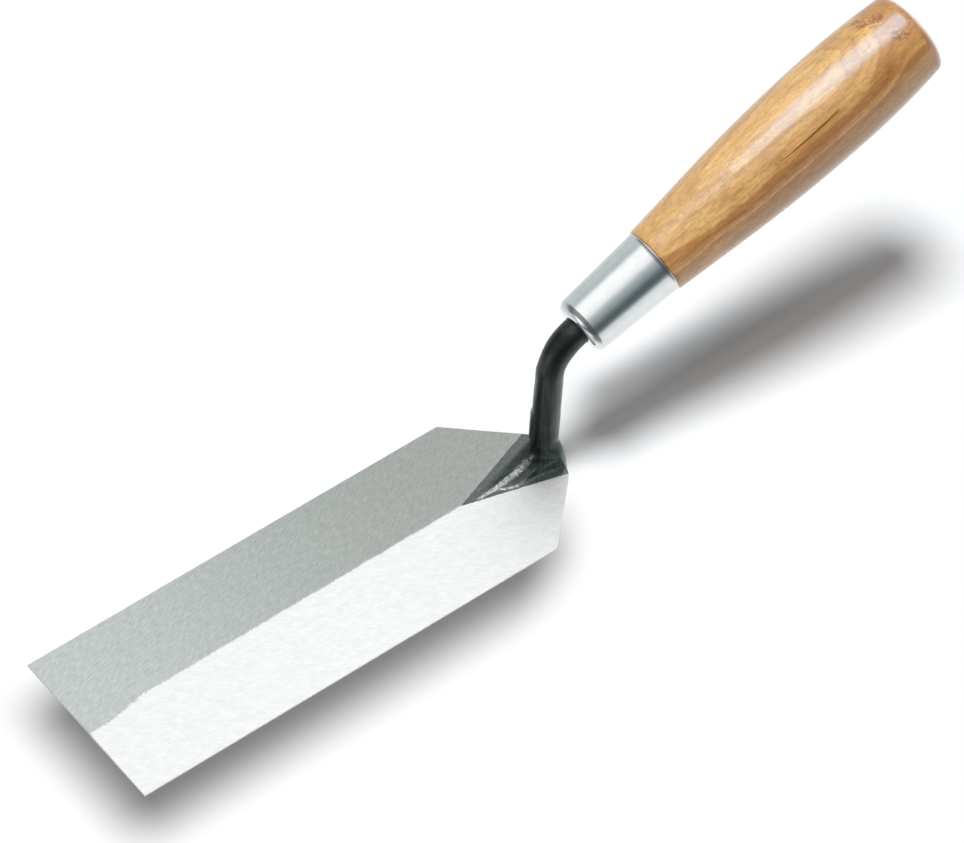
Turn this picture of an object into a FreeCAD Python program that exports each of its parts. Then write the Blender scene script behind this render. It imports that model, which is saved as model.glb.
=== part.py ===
import FreeCAD, Part
import math
import os

import Sketcher

# A margin trowel: a narrow rectangular blade, a bent shank and a turned wooden handle.
#
# The tool comes apart into four pieces:
#   forged_blade   one steel forging: blade, heel, round bent shank and square tapered tang
#   ferrule        drawn steel cap that stops the handle's front end from splitting
#   handle         turned hardwood, with a tenon inside the ferrule and a blind bore for the tang
#   tang_adhesive  the cured filler that locks the square tang in the round bore
#
# Frame: the blade's flat underside lies on Z = 0.  The origin is the centre of the blade's
# rectangular part, +X runs forward to the working edge and +Y to the left.  The ferrule, handle
# and adhesive are each drawn about their own Z axis, which starts at the ferrule's front face
# and runs to the butt, and are then placed on the handle's tilted axis.

SIZES = [
    # alias, value in mm or degrees, what it is
    ("blade_width", 50.8, "side edge to side edge, two inches"),
    ("blade_reach", 64.05, "origin to the working edge, and to the rear shoulders"),
    ("tail_corner_reach", 81.1, "origin to the ends of the 45 degree rear edges"),
    ("tail_radius", 17.5, "curve of the blade's short tail edge in plan"),
    ("edge_thickness", 0.5, "blade thickness at its side edges"),
    ("front_thickness", 0.9, "blade thickness on the centreline at the working edge"),
    ("rear_thickness", 1.1, "blade thickness on the centreline at the tail"),
    ("heel_back_reach", 83.0, "origin to the heel's back, on the centreline"),
    ("heel_corner_radius", 1.8, "rounding of the heel's rear corners in plan"),
    ("heel_root_height", 0.5, "lowest heel slice, inside the blade's thickness"),
    ("heel_root_reach", 59.5, "origin to the root slice's nose"),
    ("heel_root_radius", 0.6, "rounding of the root slice's nose"),
    ("heel_root_half_width", 6.6, "root slice, at the back"),
    ("heel_low_height", 1.6, "second heel slice, just above the blade"),
    ("heel_low_reach", 67.5, "origin to the second slice's nose"),
    ("heel_low_radius", 0.9, "rounding of the second slice's nose"),
    ("heel_low_half_width", 6.4, "second slice, at the back"),
    ("heel_waist_height", 4.2, "third heel slice, where the steep back corners end"),
    ("heel_waist_reach", 74.3, "origin to the third slice's nose"),
    ("heel_waist_radius", 1.9, "rounding of the third slice's nose"),
    ("heel_waist_half_width", 5.7, "third slice, at the back"),
    ("heel_top_height", 8.4, "height at which the heel has become the round shank"),
    ("shank_diameter", 7.6, "diameter of the drawn round shank"),
    ("shank_reach", 79.01, "origin to where the shank's axis meets Z = 0"),
    ("shank_lean", 3.4, "degrees that the shank leans back from upright"),
    ("bend_height", 40.4, "height at which the shank's and the handle's axes cross"),
    ("bend_radius", 12.5, "centreline radius of the shank's bend"),
    ("handle_tilt", 20.87, "degrees that the handle's axis rises above the blade"),
    ("ferrule_start", 8.82, "axes' crossing to the ferrule's front face, along the handle"),
    ("ferrule_length", 26.6, "front face to rim"),
    ("ferrule_front_radius", 7.95, "outside radius at the front, before the shoulder is rounded"),
    ("ferrule_rim_radius", 9.25, "outside radius at the rim"),
    ("ferrule_shoulder_radius", 2.3, "rounding of the drawn front shoulder"),
    ("ferrule_lip_radius", 0.35, "rounding of the rim's outer edge"),
    ("ferrule_wall", 0.9, "sheet thickness"),
    ("ferrule_hole_radius", 4.1, "hole in the front face that the shank passes through"),
    ("grip_length", 90.8, "rim to butt, the wood that shows"),
    ("grip_front_radius", 9.5, "wood radius against the rim"),
    ("taper_length", 24.0, "straight taper behind the rim"),
    ("taper_radius", 11.7, "wood radius where the taper ends"),
    ("belly_position", 62.0, "rim to the thickest place"),
    ("belly_radius", 13.3, "radius at the thickest place"),
    ("butt_corner_position", 88.2, "rim to the butt corner, before rounding"),
    ("butt_corner_distance", 11.8, "axis to the butt corner, before rounding"),
    ("butt_corner_radius", 3.0, "rounding of the butt corner"),
    ("bore_radius", 4.4, "drilled blind bore for the tang"),
    ("bore_length", 78.0, "ferrule's front face to the bottom of the bore"),
    ("shank_end", 3.0, "ferrule's front face to the shank's end, inside the ferrule"),
    ("tang_shoulder", 0.4, "step from the round shank down to the tang"),
    ("tang_length", 70.0, "ferrule's front face to the tang's end"),
    ("tang_end_width", 3.6, "width across the flats at the tang's end"),
]

SHEET_NAME = "Sizes"


class Formula:
    """A length or angle: its present value, and the spreadsheet formula that gives it."""

    def __init__(self, value, text):
        self.value = value
        self.text = text

    def __neg__(self):
        return Formula(-self.value, f"-({self.text})")

    def __add__(self, other):
        other = as_formula(other)
        return Formula(self.value + other.value, f"({self.text} + {other.text})")

    def __sub__(self, other):
        other = as_formula(other)
        return Formula(self.value - other.value, f"({self.text} - {other.text})")

    def __mul__(self, other):
        other = as_formula(other)
        return Formula(self.value * other.value, f"({self.text} * {other.text})")

    def __truediv__(self, other):
        other = as_formula(other)
        return Formula(self.value / other.value, f"({self.text} / {other.text})")


def as_formula(number):
    return number if isinstance(number, Formula) else Formula(float(number), str(number))


def sine(angle):
    return Formula(math.sin(math.radians(angle.value)), f"sin({angle.text})")


def cosine(angle):
    return Formula(math.cos(math.radians(angle.value)), f"cos({angle.text})")


def make_sheet(document):
    """Put every driving size into the spreadsheet and give its cell an alias."""
    sheet = document.addObject("Spreadsheet::Sheet", SHEET_NAME)
    for row, (alias, value, meaning) in enumerate(SIZES, start=1):
        sheet.set(f"A{row}", meaning)
        sheet.set(f"B{row}", str(value))
        sheet.setAlias(f"B{row}", alias)
    document.recompute()
    return {alias: Formula(value, f"{SHEET_NAME}.{alias}") for alias, value, meaning in SIZES}


def make_body(document, label):
    body = document.addObject("PartDesign::Body", label)
    body.Label = label
    return body


def make_sketch(body, name, role, shift=(), turn=None):
    """A sketch on one of its body's origin planes, shifted along and turned about the plane's axes.

    shift is up to three formulas along the sketch's own x, y and normal; turn is a formula for
    an angle about the sketch's y axis.
    """
    sketch = body.newObject("Sketcher::SketchObject", name)
    plane = next(item for item in body.Origin.OriginFeatures if item.Role == role)
    sketch.AttachmentSupport = [(plane, "")]
    sketch.MapMode = "FlatFace"
    if turn is not None:
        upright = FreeCAD.Vector(0, 1, 0)
        rotation = FreeCAD.Rotation(upright, turn.value)
        sketch.AttachmentOffset = FreeCAD.Placement(FreeCAD.Vector(), rotation)
        sketch.setExpression("AttachmentOffset.Rotation.Angle", turn.text)
    for letter, distance in zip("xyz", shift):
        distance = as_formula(distance)
        sketch.setExpression(f"AttachmentOffset.Base.{letter}", distance.text)
    return sketch


def constrain(sketch, kind, where, formula):
    """Add one dimension to a sketch and bind it to its formula."""
    index = sketch.addConstraint(Sketcher.Constraint(kind, *where, formula.value))
    sketch.setExpression(f"Constraints[{index}]", formula.text)


def place_point(sketch, edge, end, x, y):
    """Hold one end of an edge at (x, y), measured from the sketch's origin."""
    origin = (-1, 1)
    constrain(sketch, "DistanceX", (*origin, edge, end), as_formula(x))
    constrain(sketch, "DistanceY", (*origin, edge, end), as_formula(y))


def arc_between(start, end, radius):
    """The minor arc from start to end that bulges to the right of that direction."""
    chord = end - start
    half = chord.Length / 2
    rise = radius - math.sqrt(radius ** 2 - half ** 2)
    sideways = FreeCAD.Vector(chord.y, -chord.x, 0).normalize()
    middle = (start + end) / 2 + sideways * rise
    return Part.Arc(start, middle, end)


def draw_outline(sketch, corners, closed=True):
    """Draw lines and arcs from corner to corner.

    A corner is (x, y), or (x, y, radius) when the edge that leaves it is an arc that bulges to
    the right.  Every corner is dimensioned from the sketch's origin.
    """
    start_end, finish_end = 1, 2
    places = [FreeCAD.Vector(as_formula(c[0]).value, as_formula(c[1]).value, 0) for c in corners]
    edge_count = len(corners) if closed else len(corners) - 1
    for edge in range(edge_count):
        start = places[edge]
        end = places[(edge + 1) % len(corners)]
        if len(corners[edge]) == 3:
            radius = corners[edge][2]
            sketch.addGeometry(arc_between(start, end, radius.value))
            constrain(sketch, "Radius", (edge,), radius)
        else:
            sketch.addGeometry(Part.LineSegment(start, end))
    for edge in range(edge_count):
        place_point(sketch, edge, start_end, *corners[edge][:2])
        following = (edge + 1) % edge_count
        if closed or following:
            sketch.addConstraint(
                Sketcher.Constraint("Coincident", edge, finish_end, following, start_end))
        else:
            place_point(sketch, edge, finish_end, *corners[-1][:2])


def draw_circle(sketch, x, y, radius):
    centre_point = 3
    centre = FreeCAD.Vector(as_formula(x).value, as_formula(y).value, 0)
    edge = sketch.addGeometry(Part.Circle(centre, FreeCAD.Vector(0, 0, 1), radius.value))
    place_point(sketch, edge, centre_point, x, y)
    constrain(sketch, "Radius", (edge,), radius)


def loft(body, name, sections):
    """Join sections, first to last, into one solid skin."""
    feature = body.newObject("PartDesign::AdditiveLoft", name)
    feature.Profile = sections[0]
    feature.Sections = sections[1:]
    return feature


def revolve(body, name, profile):
    """Turn a profile about the body's Z axis."""
    feature = body.newObject("PartDesign::Revolution", name)
    feature.Profile = profile
    feature.ReferenceAxis = (profile, ["V_Axis"])
    feature.Angle = 360
    return feature


def round_edges(document, body, name, base, chosen, radius):
    """Fillet the edges of base for which chosen(edge) is true."""
    document.recompute()
    edges = [f"Edge{i}" for i, edge in enumerate(base.Shape.Edges, start=1) if chosen(edge)]
    if not edges:
        raise RuntimeError(f"{name}: no edge to round")
    fillet = body.newObject("PartDesign::Fillet", name)
    fillet.Base = (base, edges)
    fillet.Radius = radius.value
    fillet.setExpression("Radius", radius.text)
    return fillet


def ring_near(radius, height):
    """A test that is true for a circular edge about Z of this radius at this height."""
    tolerance = 0.01

    def matches(edge):
        if edge.Degenerated:
            return False
        curve = edge.Curve
        return (isinstance(curve, Part.Circle)
                and abs(curve.Radius - radius.value) < tolerance
                and abs(curve.Center.z - height.value) < tolerance)

    return matches


def blade_section(body, name, size, position, centre_thickness):
    """The blade's cross-section: flat below, two ground facets that meet on the centreline."""
    half_width = size["blade_width"] / 2
    sketch = make_sketch(body, name, "YZ_Plane", (0, 0, position))
    draw_outline(sketch, [
        (-half_width, 0),
        (half_width, 0),
        (half_width, size["edge_thickness"]),
        (0, centre_thickness),
        (-half_width, size["edge_thickness"]),
    ])
    return sketch


def add_blade(body, size):
    """The flat blade, its rear corners clipped at 45 degrees and its tail slightly rounded."""
    overrun = 1
    past_tail = size["tail_corner_reach"] + size["tail_radius"] / 4
    front = blade_section(body, "blade_front", size, size["blade_reach"], size["front_thickness"])
    rear = blade_section(body, "blade_rear", size, -past_tail, size["rear_thickness"])
    loft(body, "blade_plate", [front, rear])

    side = size["blade_width"] / 2
    tail_side = side - (size["tail_corner_reach"] - size["blade_reach"])
    waste = make_sketch(body, "rear_waste", "XY_Plane")
    draw_outline(waste, [
        (-size["blade_reach"] + overrun, side + overrun),
        (-size["tail_corner_reach"], tail_side, size["tail_radius"]),
        (-size["tail_corner_reach"], -tail_side),
        (-size["blade_reach"] + overrun, -side - overrun),
        (-past_tail - overrun, -side - overrun),
        (-past_tail - overrun, side + overrun),
    ])
    clip = body.newObject("PartDesign::Pocket", "rear_clip")
    clip.Profile = waste
    clip.Type = "ThroughAll"
    clip.Midplane = True


def heel_section(body, size, level):
    """A level slice of the heel: a narrow nose in front, widening to a slightly rounded back."""
    nose = -size[f"heel_{level}_reach"]
    nose_radius = size[f"heel_{level}_radius"]
    half_width = size[f"heel_{level}_half_width"]
    corner_radius = size["heel_corner_radius"]
    back_half_width = half_width - corner_radius
    back_rise = back_half_width * back_half_width / size["tail_radius"] / 2
    back = -size["heel_back_reach"] + back_rise
    sketch = make_sketch(body, f"heel_{level}", "XY_Plane", (0, 0, size[f"heel_{level}_height"]))
    draw_outline(sketch, [
        (nose - nose_radius, -nose_radius, nose_radius),
        (nose, 0, nose_radius),
        (nose - nose_radius, nose_radius),
        (back + corner_radius, half_width, corner_radius),
        (back, back_half_width, size["tail_radius"]),
        (back, -back_half_width, corner_radius),
        (back + corner_radius, -half_width),
    ])
    return sketch


def shank_foot(size):
    """How far behind the origin the shank's axis is, at the heel's top."""
    lean = size["shank_lean"]
    return size["shank_reach"] + size["heel_top_height"] * sine(lean) / cosine(lean)


def add_heel(body, size):
    """The forged heel, which rises from a pointed tip on the blade to the round shank."""
    slices = [heel_section(body, size, level) for level in ("root", "low", "waist")]
    top = make_sketch(body, "heel_top", "XY_Plane", (0, 0, size["heel_top_height"]))
    draw_circle(top, -shank_foot(size), 0, size["shank_diameter"] / 2)
    loft(body, "heel", slices + [top])


def bend_crossing(size):
    """How far behind the origin the shank's and the handle's axes cross."""
    lean = size["shank_lean"]
    return size["shank_reach"] + size["bend_height"] * sine(lean) / cosine(lean)


def add_shank(body, size):
    """The round shank: up from the heel, round the bend and into the ferrule."""
    lean = size["shank_lean"]
    tilt = size["handle_tilt"]
    turned = Formula(90.0, "90") - lean - tilt
    tangent = size["bend_radius"] * sine(turned / 2) / cosine(turned / 2)
    crossing = bend_crossing(size)
    straight = size["ferrule_start"] + size["shank_end"]

    profile = make_sketch(body, "shank_profile", "XY_Plane", (0, 0, size["heel_top_height"]))
    draw_circle(profile, -shank_foot(size), 0, size["shank_diameter"] / 2)
    path = make_sketch(body, "shank_path", "XZ_Plane")
    draw_outline(path, [
        (-shank_foot(size), size["heel_top_height"]),
        (-crossing + tangent * sine(lean), size["bend_height"] - tangent * cosine(lean),
         size["bend_radius"]),
        (-crossing - tangent * cosine(tilt), size["bend_height"] + tangent * sine(tilt)),
        (-crossing - straight * cosine(tilt), size["bend_height"] + straight * sine(tilt)),
    ], closed=False)
    pipe = body.newObject("PartDesign::AdditivePipe", "shank")
    pipe.Profile = profile
    pipe.Spine = path


def across_handle_axis(body, name, size, distance):
    """A sketch square to the handle's axis, this far behind the ferrule's front face."""
    tilt = size["handle_tilt"]
    along = size["ferrule_start"] + distance
    x = -bend_crossing(size) - along * cosine(tilt)
    z = size["bend_height"] + along * sine(tilt)
    return make_sketch(body, name, "XY_Plane", (x, 0, z), turn=tilt - 90)


def add_tang(body, size):
    """The tang, which tapers from just inside the round shank to a small square end."""
    overlap = 1
    start = across_handle_axis(body, "tang_root", size, size["shank_end"] - overlap)
    draw_circle(start, 0, 0, size["shank_diameter"] / 2 - size["tang_shoulder"])
    half = size["tang_end_width"] / 2
    end = across_handle_axis(body, "tang_end", size, size["tang_length"])
    draw_outline(end, [(-half, -half), (half, -half), (half, half), (-half, half)])
    loft(body, "tang", [start, end])


def make_forged_blade(document, size):
    body = make_body(document, "forged_blade")
    add_blade(body, size)
    add_heel(body, size)
    add_shank(body, size)
    add_tang(body, size)
    return body


def put_on_handle_axis(piece, size, distance=0):
    """Turn a piece drawn about Z onto the handle's axis, this far behind the ferrule's front."""
    tilt = size["handle_tilt"]
    along = size["ferrule_start"] + distance
    x = -bend_crossing(size) - along * cosine(tilt)
    z = size["bend_height"] + along * sine(tilt)
    turn = tilt - 90
    rotation = FreeCAD.Rotation(FreeCAD.Vector(0, 1, 0), turn.value)
    piece.Placement = FreeCAD.Placement(FreeCAD.Vector(x.value, 0, z.value), rotation)
    piece.setExpression("Placement.Base.x", x.text)
    piece.setExpression("Placement.Base.z", z.text)
    piece.setExpression("Placement.Rotation.Angle", turn.text)


def make_ferrule(document, size):
    """A drawn cup with a hole in its bottom, slightly wider at the open rim."""
    body = make_body(document, "ferrule")
    wall = size["ferrule_wall"]
    profile = make_sketch(body, "ferrule_profile", "XZ_Plane")
    draw_outline(profile, [
        (size["ferrule_hole_radius"], 0),
        (size["ferrule_front_radius"], 0),
        (size["ferrule_rim_radius"], size["ferrule_length"]),
        (size["ferrule_rim_radius"] - wall, size["ferrule_length"]),
        (size["ferrule_front_radius"] - wall, wall + size["ferrule_shoulder_radius"]),
        (size["ferrule_hole_radius"] + wall, wall),
        (size["ferrule_hole_radius"], wall),
    ])
    turned = revolve(body, "ferrule_cup", profile)
    front = ring_near(size["ferrule_front_radius"], as_formula(0))
    shoulder = round_edges(document, body, "ferrule_shoulder", turned, front,
                           size["ferrule_shoulder_radius"])
    rim = ring_near(size["ferrule_rim_radius"], size["ferrule_length"])
    round_edges(document, body, "ferrule_lip", shoulder, rim, size["ferrule_lip_radius"])
    put_on_handle_axis(body, size)
    return body


def level_arc_radius(run, rise):
    """The radius of an arc that starts level and rises this much over this run."""
    return (run * run + rise * rise) / rise / 2


def make_handle(document, size):
    """The turned grip, its tenon inside the ferrule, and the blind bore for the tang."""
    body = make_body(document, "handle")
    wall = size["ferrule_wall"]
    rim = size["ferrule_length"]
    corner_distance = size["butt_corner_distance"]
    swell_curve = level_arc_radius(size["belly_position"] - size["taper_length"],
                                   size["belly_radius"] - size["taper_radius"])
    rear_curve = level_arc_radius(size["butt_corner_position"] - size["belly_position"],
                                  size["belly_radius"] - corner_distance)
    butt_crown = level_arc_radius(corner_distance,
                                  size["grip_length"] - size["butt_corner_position"])
    profile = make_sketch(body, "handle_profile", "XZ_Plane")
    draw_outline(profile, [
        (size["bore_radius"], wall),
        (size["ferrule_hole_radius"] + wall, wall),
        (size["ferrule_front_radius"] - wall, wall + size["ferrule_shoulder_radius"]),
        (size["ferrule_rim_radius"] - wall, rim),
        (size["grip_front_radius"], rim),
        (size["taper_radius"], rim + size["taper_length"], swell_curve),
        (size["belly_radius"], rim + size["belly_position"], rear_curve),
        (corner_distance, rim + size["butt_corner_position"], butt_crown),
        (0, rim + size["grip_length"]),
        (0, size["bore_length"]),
        (size["bore_radius"], size["bore_length"]),
    ])
    turned = revolve(body, "turned_handle", profile)
    corner = ring_near(corner_distance, rim + size["butt_corner_position"])
    round_edges(document, body, "butt_corner", turned, corner, size["butt_corner_radius"])
    put_on_handle_axis(body, size)
    return body


def make_tang_adhesive(document, size, forged_blade):
    """The filler that takes up the space between the tang and the bore."""
    fill = document.addObject("Part::Cylinder", "bore_fill")
    fill.setExpression("Radius", size["bore_radius"].text)
    length = size["bore_length"] - size["ferrule_wall"]
    fill.setExpression("Height", length.text)
    put_on_handle_axis(fill, size, size["ferrule_wall"])
    adhesive = document.addObject("Part::Cut", "tang_adhesive")
    adhesive.Label = "tang_adhesive"
    adhesive.Base = fill
    adhesive.Tool = forged_blade
    return adhesive


def check_and_write(document, pieces):
    """Stop on any failed object or bad shape, then write one STEP file per piece."""
    document.recompute()
    for item in document.Objects:
        if "Invalid" in item.State or "Error" in item.State:
            raise RuntimeError(f"{item.Label} is in state {item.State}")
    for piece in pieces:
        if piece.Shape.isNull() or not piece.Shape.isValid():
            raise RuntimeError(f"{piece.Label} has no valid shape")
        if len(piece.Shape.Solids) != 1:
            raise RuntimeError(f"{piece.Label} has {len(piece.Shape.Solids)} solids")
    os.makedirs("parts", exist_ok=True)
    for piece in pieces:
        piece.Shape.exportStep(os.path.join("parts", f"{piece.Label}.step"))


def main():
    document = FreeCAD.newDocument("margin_trowel")
    size = make_sheet(document)
    forged_blade = make_forged_blade(document, size)
    document.recompute()
    pieces = [
        forged_blade,
        make_ferrule(document, size),
        make_handle(document, size),
        make_tang_adhesive(document, size, forged_blade),
    ]
    check_and_write(document, pieces)


main()
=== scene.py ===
"""The looks of a margin trowel: ground steel blade, black forged shank, plated ferrule, lacquered handle."""
import math
from itertools import permutations

import bmesh
import bpy
from mathutils import Matrix, Vector, noise


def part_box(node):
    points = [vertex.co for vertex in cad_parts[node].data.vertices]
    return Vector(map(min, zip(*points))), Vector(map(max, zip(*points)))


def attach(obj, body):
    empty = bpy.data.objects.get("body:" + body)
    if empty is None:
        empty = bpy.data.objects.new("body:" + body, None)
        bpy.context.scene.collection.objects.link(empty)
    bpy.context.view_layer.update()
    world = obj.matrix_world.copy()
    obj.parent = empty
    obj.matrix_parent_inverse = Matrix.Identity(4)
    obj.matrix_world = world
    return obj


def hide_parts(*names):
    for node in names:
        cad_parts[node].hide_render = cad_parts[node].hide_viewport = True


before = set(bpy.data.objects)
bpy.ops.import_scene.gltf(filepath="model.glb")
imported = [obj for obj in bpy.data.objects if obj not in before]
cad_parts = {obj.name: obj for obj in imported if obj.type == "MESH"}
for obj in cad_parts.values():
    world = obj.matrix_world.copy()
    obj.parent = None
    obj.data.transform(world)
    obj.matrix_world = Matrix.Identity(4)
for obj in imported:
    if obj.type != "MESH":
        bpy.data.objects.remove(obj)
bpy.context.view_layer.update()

MM = 0.001
LEFT = Vector((0, 1, 0))
BODY = "root"


# ---- places, from the frame

def surface_centre(node):
    """The area-weighted centre of a CAD node's surface, which lies on the axis of a turned piece."""
    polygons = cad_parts[node].data.polygons
    total = sum(p.area for p in polygons)
    return sum((p.center * p.area for p in polygons), Vector()) / total


FERRULE_CENTRE = surface_centre("ferrule")
AXIS = (surface_centre("handle") - FERRULE_CENTRE).normalized()
UPPER = LEFT.cross(AXIS)


def stations(node):
    """The first and last place of a CAD node along the handle's axis, from the ferrule's centre."""
    along = [(v.co - FERRULE_CENTRE).dot(AXIS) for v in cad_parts[node].data.vertices]
    return min(along), max(along)


def on_axis(station):
    return FERRULE_CENTRE + AXIS * station


FRONT_FACE, RIM = stations("ferrule")
BUTT = stations("handle")[1]
TANG_END = stations("forged_blade")[1]
FORGING_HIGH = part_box("forged_blade")[1]
WORKING_EDGE = FORGING_HIGH.x
HALF_WIDTH = FORGING_HIGH.y


# ---- small tools

def smooth_step(low, high, value):
    t = min(1.0, max(0.0, (value - low) / (high - low)))
    return t * t * (3 - 2 * t)


def blend(a, b, t):
    return a + (b - a) * t


def new_object(name, data):
    """A new object, in the scene."""
    item = bpy.data.objects.new(name, data)
    bpy.context.scene.collection.objects.link(item)
    return item


def new_piece(name, mesh, node, material):
    """Make a finished mesh a piece of the trowel that stands for a CAD node."""
    piece = new_object(name, mesh)
    mesh.materials.append(material)
    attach(piece, BODY)
    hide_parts(node)
    return piece


def shade(mesh, sharp_degrees):
    """Shade a mesh smooth, but for edges sharper than this."""
    for polygon in mesh.polygons:
        polygon.use_smooth = True
    mesh.set_sharp_from_angle(angle=math.radians(sharp_degrees))


def join_rings(bm, low, high):
    """Join two rings of bmesh vertices with quads."""
    count = len(low)
    for i in range(count):
        j = (i + 1) % count
        bm.faces.new((low[i], low[j], high[j], high[i]))


def skin(bm, rings):
    """Join rings of bmesh vertices one after another, and close both ends."""
    for low, high in zip(rings, rings[1:]):
        join_rings(bm, low, high)
    bm.faces.new(list(reversed(rings[0])))
    bm.faces.new(rings[-1])


def finish_mesh(bm, name):
    """Turn the faces outward and hand over a mesh."""
    bmesh.ops.recalc_face_normals(bm, faces=bm.faces)
    mesh = bpy.data.meshes.new(name)
    bm.to_mesh(mesh)
    bm.free()
    return mesh


def outward_at(turn):
    """The direction away from the handle's axis, this far round from the top towards the left."""
    return UPPER * math.cos(turn) + LEFT * math.sin(turn)


def lathe(name, outline, segments):
    """Turn a closed outline of (station, radius) about the handle's axis."""
    bm = bmesh.new()
    turns = [2 * math.pi * i / segments for i in range(segments)]
    rings = [[bm.verts.new(on_axis(station) + outward_at(turn) * radius) for turn in turns]
             for station, radius in outline]
    for low, high in zip(rings, rings[1:] + rings[:1]):
        join_rings(bm, low, high)
    return finish_mesh(bm, name)


def quarter_round(centre_station, centre_radius, size, start_degrees, end_degrees, steps):
    """Points on a round corner of a turned outline; 0 degrees is outward, 90 is towards the butt."""
    angles = [math.radians(blend(start_degrees, end_degrees, i / steps)) for i in range(steps + 1)]
    return [(centre_station + size * math.sin(a), centre_radius + size * math.cos(a)) for a in angles]


# ---- node materials

class Shader:
    """Builds the nodes of a material or a world. Values are numbers, colours or nodes' outputs."""

    def __init__(self, name, tree=None):
        if tree is None:
            self.material = bpy.data.materials.new(name)
            self.material.use_nodes = True
            tree = self.material.node_tree
            self.principled = tree.nodes["Principled BSDF"]
        self.tree = tree

    def put(self, socket, value):
        if isinstance(value, bpy.types.NodeSocket):
            self.tree.links.new(value, socket)
        elif isinstance(value, (tuple, list)) and len(value) == 3 and socket.type == "RGBA":
            socket.default_value = (*value, 1)
        else:
            socket.default_value = value

    def add(self, kind, inputs=None, **settings):
        node = self.tree.nodes.new(kind)
        for key, value in settings.items():
            setattr(node, key, value)
        for key, value in (inputs or {}).items():
            self.put(node.inputs[key], value)
        return node

    def surface(self, **values):
        for key, value in values.items():
            self.put(self.principled.inputs[key.replace("_", " ")], value)

    def maths(self, operation, first, second=0.0, third=0.0):
        node = self.add("ShaderNodeMath", {0: first, 1: second, 2: third}, operation=operation)
        return node.outputs[0]

    def linear(self, value, slope, offset):
        return self.maths("MULTIPLY_ADD", value, slope, offset)

    def step(self, value, low, high, at_low=0.0, at_high=1.0):
        """A smooth step from one level to another as the value goes from low to high."""
        node = self.add("ShaderNodeMapRange", {"Value": value, "From Min": low, "From Max": high,
                                               "To Min": at_low, "To Max": at_high},
                        interpolation_type="SMOOTHSTEP")
        return node.outputs[0]

    def times(self, *values):
        """The product of two or more values."""
        product = values[0]
        for value in values[1:]:
            product = self.maths("MULTIPLY", product, value)
        return product

    def minus(self, first, second):
        return self.maths("SUBTRACT", first, second)

    def absolute(self, value):
        return self.maths("ABSOLUTE", value)

    def mix(self, factor, first, second, blend_type="MIX"):
        # the mix node's colour sockets are its seventh and eighth inputs and its third output
        node = self.add("ShaderNodeMix", {0: factor, 6: first, 7: second},
                        data_type="RGBA", blend_type=blend_type)
        return node.outputs[2]

    def tint(self, factor, colour, by):
        """A colour multiplied by another, as fully as the factor says."""
        return self.mix(factor, colour, by, "MULTIPLY")

    def ramp(self, factor, *stops):
        node = self.add("ShaderNodeValToRGB", {0: factor})
        elements = node.color_ramp.elements
        while len(elements) < len(stops):
            elements.new(0.5)
        for element, (position, colour) in zip(elements, stops):
            element.position = position
            element.color = (*colour, 1)
        return node.outputs[0]

    def noise(self, vector, scale, detail=4.0, roughness=0.5, distortion=0.0):
        node = self.add("ShaderNodeTexNoise", {"Vector": vector, "Scale": scale, "Detail": detail,
                                               "Roughness": roughness, "Distortion": distortion})
        return node.outputs["Fac"]

    def drawn_noise(self, place, stretch, detail, roughness):
        """Noise drawn out along its axes: a smaller stretch value makes longer shapes."""
        scaled = [self.times(value, amount) for value, amount in zip(place, stretch)]
        return self.noise(self.vector(*scaled), 1.0, detail, roughness)

    def vector(self, x, y, z):
        return self.add("ShaderNodeCombineXYZ", {0: x, 1: y, 2: z}).outputs[0]

    def place(self):
        """The point's x, y and z in the tool's frame, in millimetres."""
        coordinates = self.add("ShaderNodeTexCoord").outputs["Object"]
        scaled = self.add("ShaderNodeVectorMath", {0: coordinates, "Scale": 1 / MM},
                          operation="SCALE").outputs[0]
        return tuple(self.add("ShaderNodeSeparateXYZ", {0: scaled}).outputs)

    def along(self, x, y, z, direction, origin):
        """How far the point is along a direction from an origin, both in the tool's frame."""
        offset = -direction.dot(origin) / MM
        total = self.linear(x, direction.x, offset)
        total = self.linear(y, direction.y, total)
        return self.linear(z, direction.z, total)

    def bump(self, height, strength, distance, normal=None):
        inputs = {"Height": height, "Strength": strength, "Distance": distance * MM}
        if normal is not None:
            inputs["Normal"] = normal
        return self.add("ShaderNodeBump", inputs).outputs[0]


# ---- the forging: blade, heel, shank and tang

EDGE_THICKNESS = 0.5
FRONT_RIDGE = 0.95
STOCK_THICKNESS = 1.15
REAR_SHOULDER_X = -64.05
TAIL_CORNER_X = -81.1
TAIL_BOW = 2.1
TAIL_BOW_LENGTH = 9.0
RIDGE_SOFTNESS = 0.6
# near the front the ridge swings this far left, between these two places
RIDGE_SWING = 2.0
RIDGE_SWING_FROM, RIDGE_SWING_TO = 47.0, 56.0
RIDGE_OFFSET = -0.1
# the two ground facets leave a long triangle of the flat black stock standing around the heel
TRIANGLE_TIP_X = -52.5
RIGHT_BORDER_SLOPE = 0.354
LEFT_BORDER_SLOPE = 0.285
HEEL_CENTRE_X = -79.5
HEEL_BACK_X = -83.1
SHANK_LEAN = math.radians(3.4)
SHANK_FOOT_X = -79.01
BEND_HEIGHT = 40.4
BEND_RADIUS = 12.5
SHANK_RADIUS = 3.64
# below a small step the shank is a little thicker, most of all on its right
STEP_HEIGHT = 18.8
STEP_SOFTNESS = 0.8
STEP_SWELL = 0.06
STEP_SWELL_RIGHT = 0.42
# and it thickens again through the bend
BEND_SWELL = 0.28
BEND_SWELL_FROM, BEND_SWELL_TO = 36.0, 42.0
SHANK_IN_FERRULE = 3.0
SHOULDER_ROUND = 0.4
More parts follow.
